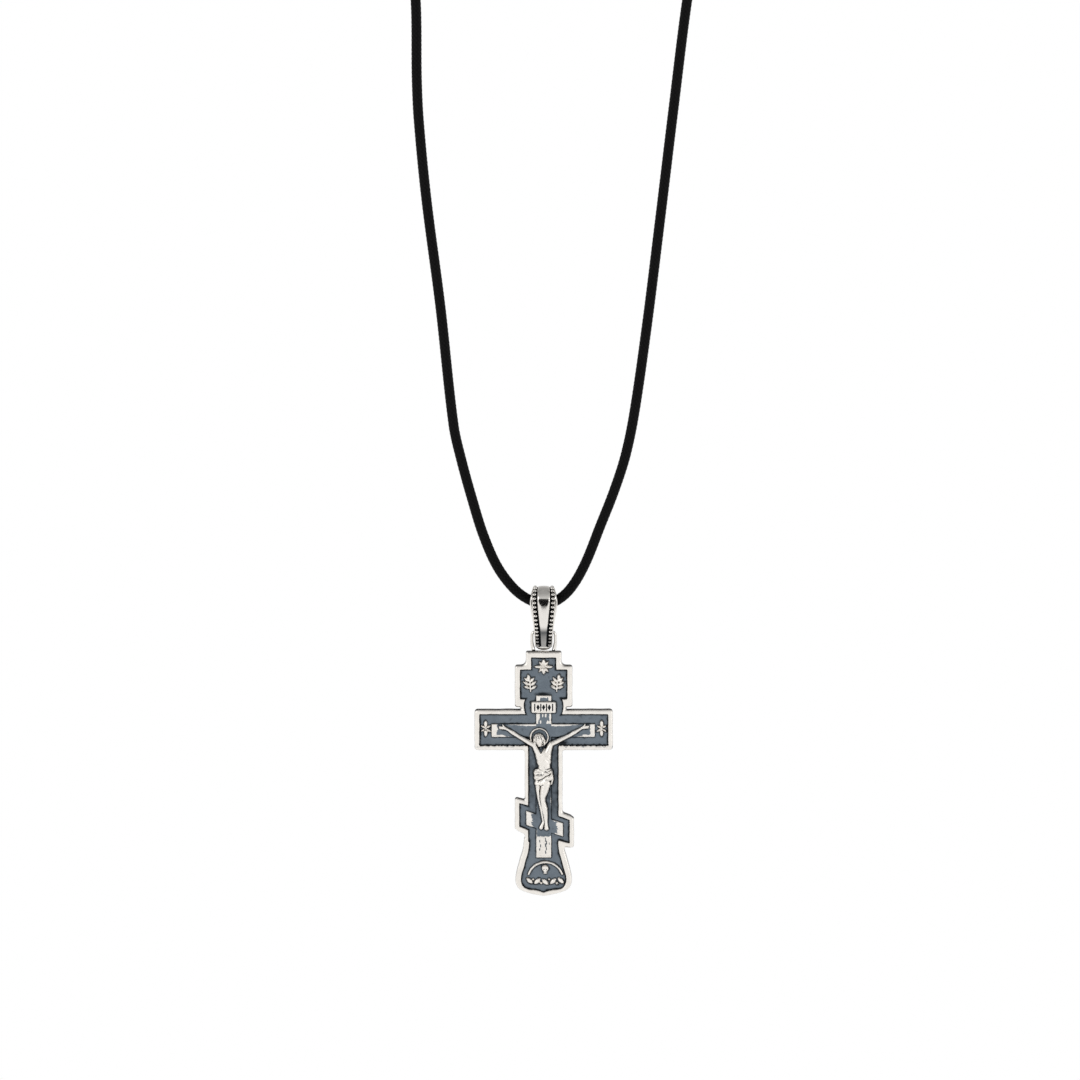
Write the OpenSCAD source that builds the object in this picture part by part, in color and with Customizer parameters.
// Cross necklace: a cast silver cross on a beaded bail, hung from a loop of black braided cord.
// +Z is up and the front faces -Y. The origin is the middle of the clasp, where the loop rests on the nape.

/* [Loop] */
// Drop from the clasp to the axis on which the bail swings
loop_h = 198; // [190:1:202]
// Thickness of the cord
cord_d = 1.6; // [1.4:0.1:1.7]

/* [Clasp] */
// Length of the barrel clasp
clasp_l = 20; // [18:1:20]
// Diameter of the barrel between its end rims
barrel_d = 3; // [2.6:0.1:3.4]
// Diameter of the end rims
rim_d = 3.4; // [3:0.1:3.8]

/* [Bail] */
// Outer radius of the bail round the cord, from the side
bail_r = 2.5; // [2.4:0.05:2.6]
// Radius of the hole for the cord
cord_hole_r = 1.55; // [1.5:0.05:1.6]
// Radius of the rounded foot of the bail
foot_r = 0.9; // [0.8:0.05:0.95]
// Distance from the cord to the eye of the cross
eye_drop = 4.8; // [4.7:0.05:4.9]
// Radius of the slot in which the eye turns
eye_slot_r = 0.45; // [0.4:0.05:0.5]
// Radius of one bead
bead_r = 0.22; // [0.18:0.01:0.24]
// Spacing of the beads along the rim
bead_pitch = 0.74; // [0.6:0.02:0.9]

/* [Cross] */
// Full thickness of the casting at its border
plate_t = 2; // [1.8:0.1:2.2]
// Depth of the sunken field below the border
field_depth = 0.45; // [0.35:0.05:0.5]
// Half the width across the arms
arm_half = 11; // [10.9:0.1:11.1]
// Half the width of the shaft
shaft_half = 3; // [2.9:0.05:3.1]
// Width of the raised border
border = 0.76; // [0.7:0.02:0.8]
// Height of the wooden cross above the field
beam_rise = 0.22; // [0.15:0.01:0.3]
// Wire diameter of the eye
eye_wire = 0.4; // [0.36:0.02:0.42]

/* [Hidden] */
$fn = 64;

// The cord's route from one end of the clasp, down the left, through the bail and up the right.
// Each row is the place across and the height above the bail's axis.
route = [
    [-clasp_l / 2, loop_h], [-14.4, loop_h - 0.3], [-20.8, loop_h - 3.6], [-25.6, loop_h - 11.6], [-28, loop_h - 25],
    [-27.6, 153], [-24.8, 131], [-21.9, 112], [-20.3, 96], [-20.1, 83],
    [-19.8, 76.5], [-18.6, 64], [-16.4, 47], [-14.3, 28], [-13.1, 22.6],
    [-11.4, 16.4], [-9.6, 10.6], [-7.4, 5.6], [-4.8, 2.1], [-2.4, 0.3],
    [0, -0.4], [2.2, 0.2], [4.4, 2.2], [6.6, 6], [9, 12],
    [11.2, 17.6], [13, 23.2], [14.4, 30], [16.4, 44], [18.5, 61],
    [20.6, 78.5], [22.8, 96], [25.8, 114], [28.6, 134], [30, 154],
    [29.2, loop_h - 25], [26.4, loop_h - 11.4], [21.4, loop_h - 3.5], [14.4, loop_h - 0.3], [clasp_l / 2, loop_h],
];
ring_gap = 5.8;
cord_sides = 8;
rim_l = 1.2;

// Half widths of the bail seen from the front, each with its height above the swing axis
bail_rows = [
    [2.7, 1.66], [2, 1.86], [1.2, 2.02], [0.4, 2.18], [-0.4, 2.2], [-1.4, 2.02],
    [-2.9, 1.74], [-4.2, 1.54], [-5, 1.5], [-6.1, 1.45], [-6.9, 1.3], [-7.4, 1], [-7.75, 0.5],
];
// Distances in from the bail's edge: start of the groove, row of beads, end of the groove
groove_in = 0.28;
bead_in = 0.6;
groove_end = 1.0;
groove_depth = 0.16;
// Distance from the swing axis down to the middle of the bail's rounded foot
bail_foot = 6.8;
// Height of the bar of the eye above the top edge of the cross, and half its width
eye_rise = 3.12;
eye_half = 1.85;

// Half widths of the flared foot, each with its distance below the top edge of the cross
foot_rows = [
    [30, 3], [31.8, 3.35], [33.3, 3.82], [34.8, 4.22], [36, 4.46], [36.8, 4.48],
    [37.4, 4.3], [37.9, 3.95], [38.3, 3.3], [38.6, 2.5], [38.85, 1.4], [39.1, 0],
];
foot_field_rows = [
    [29.6, 2.2], [31.8, 2.4], [33.3, 2.8], [34.8, 3.22], [36, 3.54], [36.8, 3.56],
    [37.3, 3.4], [37.75, 3.05], [38.05, 2.3], [38.15, 1.2], [38.5, 0],
];

// Distances below the top edge of the cross
tier_top = 2.24;
tier_end = 8.9;
arm_top = 9.28;
arm_end = 15.76;
beam_top = 11.6;
beam_end = 13.72;
plaque_top = 8.05;
plaque_end = 9.87;
hill_t = 36.5;

cross_top = -loop_h - eye_drop - eye_rise;
// Heights above the middle of the plate
field_d = plate_t / 2 - field_depth;
beam_d = field_d + beam_rise;
plaque_d = beam_d + 0.16;
halo_d = beam_d + 0.14;
ornament_d = field_d + 0.25;
skull_d = field_d + 0.3;

// Unit vector along v
function unit(v) = v / norm(v);
// Direction of the route at point i
function heading(p, i) =
    let (a = max(i - 1, 0), b = min(i + 1, len(p) - 1)) unit(p[b] - p[a]);
// Point on the smooth curve through p, a share s of the way from point i to the next
function between(p, i, s) =
    let (
        l = norm(p[i + 1] - p[i]),
        a = heading(p, i) * l,
        b = heading(p, i + 1) * l,
        s2 = s * s,
        s3 = s2 * s
    )
    p[i] * (2 * s3 - 3 * s2 + 1) + a * (s3 - 2 * s2 + s) + p[i + 1] * (3 * s2 - 2 * s3) + b * (s3 - s2);
// The smooth curve through p, with a point about every gap
function smooth(p, gap) = concat(
    [for (i = [0 : len(p) - 2])
        let (n = max(1, round(norm(p[i + 1] - p[i]) / gap)))
        for (k = [0 : n - 1]) between(p, i, k / n)],
    [p[len(p) - 1]]
);
// Both edges of an outline from rows of [distance down, half width]
function both_sides(rows) = concat(
    [for (r = rows) [-r[1], -r[0]]],
    [for (i = [len(rows) - 2 : -1 : 0]) [rows[i][1], -rows[i][0]]]
);

// Round tube through a flat route of [across, up] points
module tube(path, d, sides) {
    n = len(path);
    rings = [for (i = [0 : n - 1])
        let (t = heading(path, i))
        for (k = [0 : sides - 1])
            let (a = 360 * (k + 0.5) / sides, u = cos(a) * d / 2, v = sin(a) * d / 2)
            [path[i][0] - t[1] * u, v, path[i][1] + t[0] * u]];
    side_faces = [for (i = [0 : n - 2]) for (k = [0 : sides - 1])
        let (m = (k + 1) % sides)
        [i * sides + k, i * sides + m, (i + 1) * sides + m, (i + 1) * sides + k]];
    first = [for (k = [sides - 1 : -1 : 0]) k];
    last = [for (k = [0 : sides - 1]) (n - 1) * sides + k];
    polyhedron(points = rings, faces = concat([first], side_faces, [last]), convexity = 8);
}

module cord() {
    color("#161617")
        translate([0, 0, -loop_h])
            tube(smooth(route, ring_gap), cord_d, cord_sides);
}

// One plain barrel, turned round the X axis, with a rim at each end
module clasp() {
    color("#c9c7c3")
        rotate([0, 90, 0]) {
            cylinder(d = barrel_d, h = clasp_l - rim_l, center = true);
            for (side = [-1, 1])
                translate([0, 0, side * (clasp_l - rim_l) / 2]) cylinder(d = rim_d, h = rim_l, center = true);
        }
}

// Side outline of the bail, taken in by a margin: a large and a small arc with straight flanks
module side_outline(margin) {
    r1 = bail_r - margin;
    r2 = foot_r - margin;
    lean = asin((r1 - r2) / bail_foot);
    polygon(concat(
        [for (k = [0 : 26]) let (a = -lean + (180 + 2 * lean) * k / 26) r1 * [cos(a), sin(a)]],
        [for (k = [0 : 12]) let (a = 180 + lean + (180 - 2 * lean) * k / 12)
            r2 * [cos(a), sin(a)] - [0, bail_foot]]
    ));
}

// Turns a side outline into a bar across the bail, with X from -half to half
module across(half) {
    rotate([90, 0, 90]) translate([0, 0, -half]) linear_extrude(2 * half) children();
}

// Turns a front outline into a bar from front to back
module through(half) {
    rotate([90, 0, 0]) translate([0, 0, -half]) linear_extrude(2 * half) children();
}

// Half width of the bail at height h
function bail_half(h) = lookup(h, bail_rows);
// Outline of the bail seen from the front, less a share of its edge on each side
function front_outline(less) = concat(
    [for (r = bail_rows) [-max(r[1] - less, 0.1), r[0]]],
    [for (i = [len(bail_rows) - 1 : -1 : 0]) [max(bail_rows[i][1] - less, 0.1), bail_rows[i][0]]]
);
// Strip along the right edge of the bail, between two distances in from the edge
function edge_strip(near, far) = concat(
    [for (r = bail_rows) [max(r[1] - far, 0.1), r[0]]],
    [for (i = [len(bail_rows) - 1 : -1 : 0]) [max(bail_rows[i][1] - near, 0.2), bail_rows[i][0]]]
);

// Half a row of beads on one edge: over the top arc, then down the flank
module bead_row(side, face) {
    s = (bail_r - foot_r) / bail_foot;
    lean = asin(s);
    // the beads' middles stand this far from the axis, just above the bottom of the groove
    reach = bail_r - groove_depth + 0.04;
    arc_beads = 7;
    arc_step = (90 + lean) / (arc_beads - 0.5);
    bare_foot = 0.6;
    flank_beads = floor((bail_foot * cos(lean) - bare_foot) / bead_pitch);
    spots = concat(
        [for (k = [0 : arc_beads - 1]) let (a = 90 - (k + 0.5) * arc_step) reach * [cos(a), sin(a)]],
        [for (k = [0 : flank_beads - 1]) let (l = (k + 0.8) * bead_pitch)
            [reach * cos(lean) - l * s, -reach * s - l * cos(lean)]]
    );
    for (p = spots)
        translate([side * (bail_half(p[1]) - bead_in), face * p[0], p[1]]) sphere(bead_r, $fn = 16);
}

// Holes for the cord and for the bar of the eye, joined by a tapered slot
module bail_holes() {
    reach = 3;
    // the slot is a little narrower than the round holes at its ends
    wide = 0.95 * cord_hole_r;
    narrow = 0.93 * eye_slot_r;
    slot_top = -0.25;
    slot_end = -eye_drop - 0.06;
    for (hole = [[0, cord_hole_r], [-eye_drop, eye_slot_r]])
        translate([0, 0, hole[0]]) rotate([0, 90, 0]) cylinder(r = hole[1], h = 2 * reach, center = true);
    across(reach) polygon([[-wide, slot_top], [-narrow, slot_end], [narrow, slot_end], [wide, slot_top]]);
}

module bail() {
    color("#b9b7b2")
        translate([0, 0, -loop_h]) {
            difference() {
                union() {
                    intersection() {
                        across(3) side_outline(groove_depth);
                        through(4) polygon(front_outline(0));
                    }
                    intersection() {
                        across(3) side_outline(0);
                        through(4) polygon(front_outline(groove_end));
                    }
                    for (side = [0, 1]) mirror([side, 0, 0])
                        intersection() {
                            across(3) side_outline(0);
                            through(4) polygon(edge_strip(0, groove_in));
                        }
                }
                bail_holes();
            }
            for (side = [-1, 1], face = [-1, 1]) bead_row(side, face);
        }
}

// Rectangle with round corners, given by its half width and its top and bottom distances
module panel(half, top, bottom, r) {
    translate([-half + r, -bottom]) square([2 * (half - r), bottom - top]);
    translate([-half, -bottom + r]) square([2 * half, bottom - top - 2 * r]);
    for (x = [-half + r, half - r], y = [-bottom + r, -top - r]) translate([x, y]) circle(r);
}

// Slanted outline round the foot beam
module step_outline(grow) {
    polygon([
        [-3.84 - grow, -24.3 + grow * 1.35], [-3.84 - grow, -27.95 - grow * 0.5],
        [-3.84, -27.95 - grow * 1.35], [0, -29.6 - grow * 1.2], [4.1, -30.6 - grow * 1.2],
        [4.1 + grow, -30.6 - grow], [4.1 + grow, -27 + grow * 0.4],
        [4.1, -27 + grow * 1.2], [0, -25.4 + grow * 1.3],
    ]);
}

module outline() {
    panel(2.84, 0, 4, 0.3);
    panel(4.58, tier_top, tier_end, 0.35);
    panel(3.7, tier_end - 1, arm_top + 1, 0.2);
    panel(arm_half, arm_top, arm_end, 0.45);
    panel(shaft_half, arm_top + 1, 30.6, 0.1);
    step_outline(0.74);
    polygon(both_sides(foot_rows));
    // small hollow curve on each shoulder of the top tier
    for (side = [0, 1]) mirror([side, 0, 0])
        difference() {
            translate([2.8, -tier_top - 0.1]) square([0.6, 0.7]);
            translate([3.4, -tier_top + 0.6]) circle(0.6);
        }
}

module field() {
    panel(1.96, 1.04, 4, 0.1);
    panel(3.74, 2.96, 7.6, 0.1);
    intersection() {
        translate([0, -8.8]) circle(3.12);
        translate([-4, -10.4]) square([8, 3]);
    }
    panel(arm_half - border, arm_top + 0.8, arm_end - 0.72, 0.1);
    panel(shaft_half - border + 0.1, arm_top + 1, 30.2, 0.1);
    step_outline(0);
    polygon(both_sides(foot_field_rows));
}

// Lens-shaped leaf, pointing up from the origin
module leaf(l, w) {
    r = (l * l + w * w) / (4 * w);
    intersection() {
        translate([w / 2 - r, l / 2]) circle(r);
        translate([r - w / 2, l / 2]) circle(r);
    }
}

module rosette(l, w) {
    for (a = [0 : 90 : 270]) rotate(a) translate([0, 0.16]) leaf(l, w);
    circle(0.2, $fn = 24);
}

module sprig(l, w) {
    for (a = [-52, 0, 52]) rotate(a) translate([0, 0.1]) leaf(l, w);
    translate([-0.09, -l * 0.7]) square([0.18, l * 0.8]);
}

// Raises a flat shape from just under height d0 to height d1 above the middle of the plate
module raised(d0, d1) {
    translate([0, 0, d0 - 0.1]) linear_extrude(d1 - d0 + 0.1) children();
}

// Run of round limbs through rows of [across, down, width, height above the field], with a ball at each joint
module limbs(rows) {
    ball = 1.08;
    centres = [for (r = rows) [r[0], -r[1], field_d - 0.1 + r[3] - r[2] * ball / 2]];
    for (i = [0 : len(rows) - 1])
        translate(centres[i]) sphere(d = rows[i][2] * ball, $fn = 24);
    for (i = [0 : len(rows) - 2])
        let (v = centres[i + 1] - centres[i])
        translate(centres[i]) rotate([0, acos(v[2] / norm(v)), atan2(v[1], v[0])])
            cylinder(h = norm(v), d1 = rows[i][2], d2 = rows[i + 1][2], $fn = 24);
}

// The corpus, a traditional figure in half relief, with its back cut off inside the plate
module figure() {
    intersection() {
        translate([-9, -30, 0]) cube([18, 20, 3]);
        union() {
            // head and neck, chest and waist, loincloth
            limbs([[-0.8, 13.95, 1.6, 1.05], [-0.66, 14.95, 0.9, 0.8]]);
            limbs([[-0.1, 16.4, 2.5, 0.95], [0.06, 18.4, 1.7, 0.75]]);
            limbs([[0, 19.6, 2.6, 0.95], [-0.08, 21, 2.4, 0.9]]);
            // arms, each from the hand to the shoulder
            for (side = [[-1, -0.2], [1, 0.05]])
                limbs([for (r = [[6.7, 12.15, 0.4, 0.35], [3.95, 13.45, 0.46, 0.45], [1.3, 15.1, 0.7, 0.6]])
                    [side[0] * r[0] + side[1], r[1], r[2], r[3]]]);
            // legs, closing towards the feet, which turn outwards
            limbs([
                [-0.85, 21.6, 0.95, 0.7], [-0.5, 24.4, 0.7, 0.62], [-0.1, 27.7, 0.44, 0.42], [-0.44, 28.2, 0.5, 0.4],
            ]);
            limbs([
                [0.42, 21.7, 1.2, 0.85], [0.06, 24, 0.9, 0.78], [0.44, 27.7, 0.46, 0.44], [0.76, 28.2, 0.5, 0.42],
            ]);
        }
    }
}

// Wire loop on the top edge with a straight bar at its top
module eye() {
    bend = 0.55;
    root = 0.4;
    translate([0, eye_rise, 0]) {
        rotate([0, 90, 0]) cylinder(d = eye_wire, h = 2 * (eye_half - bend), center = true, $fn = 32);
        for (side = [0, 1]) mirror([side, 0, 0]) {
            translate([eye_half - bend, -bend, 0])
                rotate_extrude(angle = 90) translate([bend, 0]) circle(d = eye_wire, $fn = 32);
            translate([eye_half, -eye_rise - root, 0])
                rotate([-90, 0, 0]) cylinder(d = eye_wire, h = eye_rise + root - bend, $fn = 32);
        }
    }
}

module inner_cross() {
    raised(field_d, beam_d) {
        panel(8.3, beam_top, beam_end, 0.06);
        panel(1.2, 7.1, 33, 0.06);
        polygon([[-2.8, -25.45], [3.1, -27.45], [3.1, -29.65], [-2.8, -27.8]]);
    }
    raised(field_d, plaque_d) panel(1.96, plaque_top, plaque_end, 0.2);
    raised(field_d, halo_d) translate([-0.6, -13.76]) difference() {
        circle(1.56);
        circle(1.38);
    }
}

// Hill with its skull, and the plain ornaments on the field
module ornaments() {
    raised(field_d, ornament_d) {
        intersection() {
            translate([0, -hill_t]) difference() {
                circle(2.95);
                circle(2.66);
            }
            translate([-4, -35.7]) square([8, 3]);
        }
        for (i = [-2 : 2]) translate([i * 1.16, -37.15]) rotate(i % 2 == 0 ? 35 : -35)
            translate([0, -0.5]) leaf(1, 0.5);
        translate([0, -2.5]) rosette(0.75, 0.45);
        for (x = [-2.1, 2.1]) translate([x, -5.2]) sprig(0.9, 0.5);
        for (x = [-9.25, 9.25]) translate([x, -12.7]) rosette(0.6, 0.36);
    }
    raised(field_d, skull_d) {
        translate([0, -34.75]) circle(0.52, $fn = 32);
        translate([-0.3, -35.7]) square([0.6, 0.7]);
    }
}

module cross() {
    color("#8d8f92")
        translate([0, 0, cross_top]) rotate([90, 0, 0]) {
            difference() {
                translate([0, 0, -plate_t / 2]) linear_extrude(plate_t) outline();
                translate([0, 0, field_d]) linear_extrude(plate_t) field();
            }
            inner_cross();
            ornaments();
            figure();
            eye();
        }
}

cord();
clasp();
bail();
cross();
